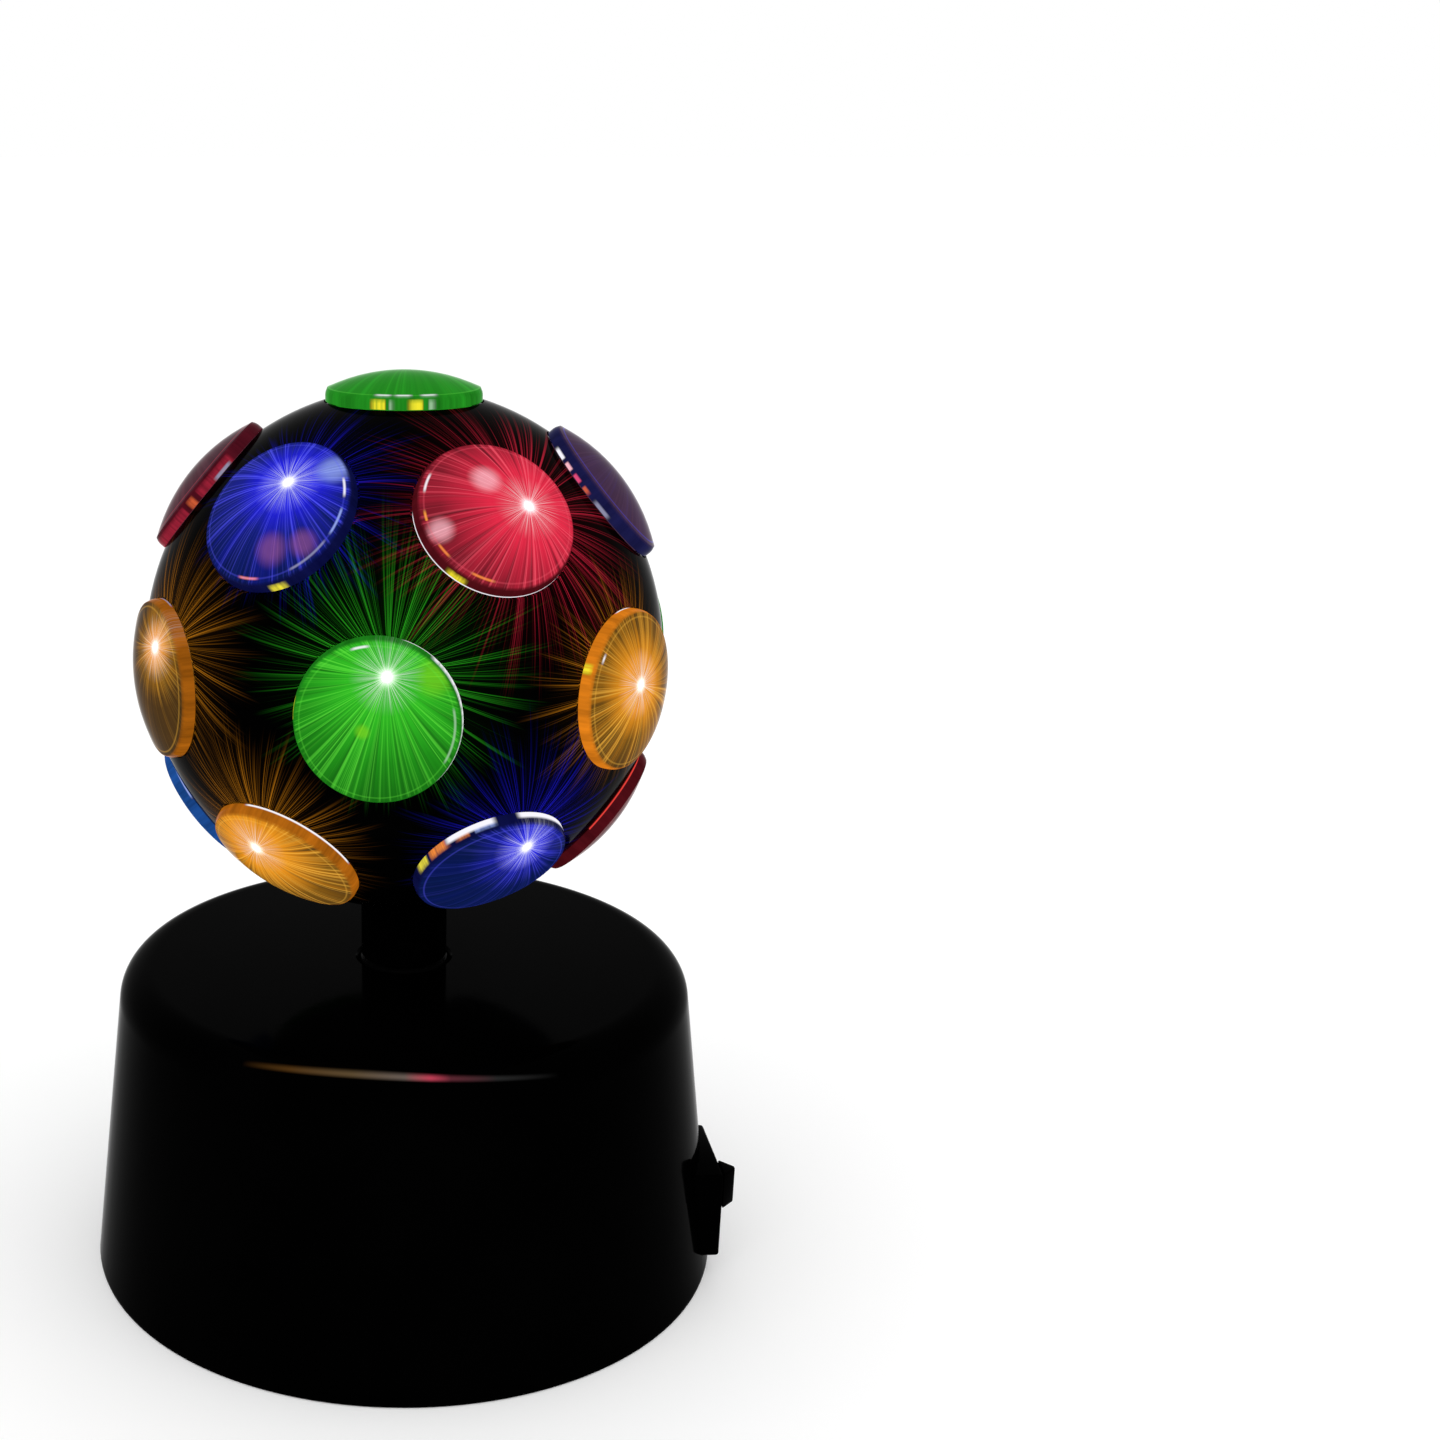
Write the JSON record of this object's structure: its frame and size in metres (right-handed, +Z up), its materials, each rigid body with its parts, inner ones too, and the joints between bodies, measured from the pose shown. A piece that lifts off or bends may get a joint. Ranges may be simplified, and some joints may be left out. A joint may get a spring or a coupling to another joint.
{
  "type": "mini party light",
  "caption": "Small battery party light: a black tapered base with a slide switch, and a black ball of coloured domed lenses that turns on a short neck.",
  "frame": {"origin": "on the ball's turning axis, at the foot of the base", "axes": "+Z up along the turning axis, -Y towards the viewer of the picture, +X towards the switch"},
  "size_m": [0.0811, 0.0796, 0.11],
  "materials": {
    "black_gloss": "high gloss moulded",
    "black_matte": "fine moulded grain",
    "grey_plastic": "moulded",
    "white_plastic": "moulded acetal",
    "brass": "cut",
    "steel": "zinc plated",
    "cell_skin": "printed sleeve",
    "board_green": "solder mask",
    "led_clear": "clear epoxy",
    "lead_red": "soft sleeve",
    "lens_green": "clear coloured, lit from inside",
    "lens_blue": "clear coloured, lit from inside",
    "lens_red": "clear coloured, lit from inside",
    "lens_orange": "clear coloured, lit from inside"
  },
  "bodies": {
    "base": {"base_shell": "black_gloss", "base_plate": "black_matte", "battery_door": "black_matte", "battery_1": "cell_skin", "battery_2": "cell_skin", "battery_3": "cell_skin", "contact_plate_1": "steel", "contact_plate_2": "steel", "contact_plate_3": "steel", "contact_plate_4": "steel", "contact_spring_1": "steel", "contact_spring_2": "steel", "contact_spring_3": "steel", "base_screw_1": "steel", "base_screw_2": "steel", "base_screw_3": "steel", "base_screw_4": "steel", "deck_screw_1": "steel", "deck_screw_2": "steel", "deck_screw_3": "steel", "door_screw_1": "steel", "gear_deck": "grey_plastic", "motor": "steel", "idler_axle": "steel", "hub_bushing": "black_matte", "led_stalk": "grey_plastic", "led_board": "board_green", "led": "led_clear", "switch_housing": "black_gloss", "switch_body": "steel", "led_lead": "lead_red", "motor_lead": "lead_red", "battery_lead": "lead_red"},
    "ball": {"ball_upper_half": "black_gloss", "ball_lower_half": "black_gloss", "drive_gear": "white_plastic", "top_lens": "lens_green", "upper_lens_1": "lens_red", "upper_lens_2": "lens_blue", "upper_lens_3": "lens_red", "upper_lens_4": "lens_blue", "upper_lens_5": "lens_red", "upper_lens_6": "lens_blue", "middle_lens_1": "lens_green", "middle_lens_2": "lens_orange", "middle_lens_3": "lens_green", "middle_lens_4": "lens_orange", "middle_lens_5": "lens_green", "middle_lens_6": "lens_orange", "lower_lens_1": "lens_blue", "lower_lens_2": "lens_red", "lower_lens_3": "lens_blue", "lower_lens_4": "lens_green", "lower_lens_5": "lens_blue", "lower_lens_6": "lens_orange"},
    "idler": {"idler_gear": "white_plastic"},
    "rotor": {"motor_pinion": "brass", "motor_shaft": "steel"},
    "knob": {"switch_knob": "black_gloss"}
  },
  "joints": [
    {"name": "ball_spin", "type": "hinge", "parent": "base", "child": "ball", "pos_m": [0, 0, 0.07778], "axis": [0, 0, 1], "continuous": true},
    {"name": "idler_spin", "type": "hinge", "parent": "base", "child": "idler", "pos_m": [-0.015, 0, 0], "axis": [0, 0, 1], "continuous": true},
    {"name": "rotor_spin", "type": "hinge", "parent": "base", "child": "rotor", "pos_m": [-0.0285, 0, 0], "axis": [0, 0, 1], "continuous": true},
    {"name": "switch_slide", "type": "slide", "parent": "base", "child": "knob", "axis": [0, 0, 1], "range_m": [-0.004, 0]}
  ],
  "couplings": [
    {"joint": "idler_spin", "follows": "ball_spin", "ratio": -4},
    {"joint": "rotor_spin", "follows": "ball_spin", "ratio": 14}
  ]
}
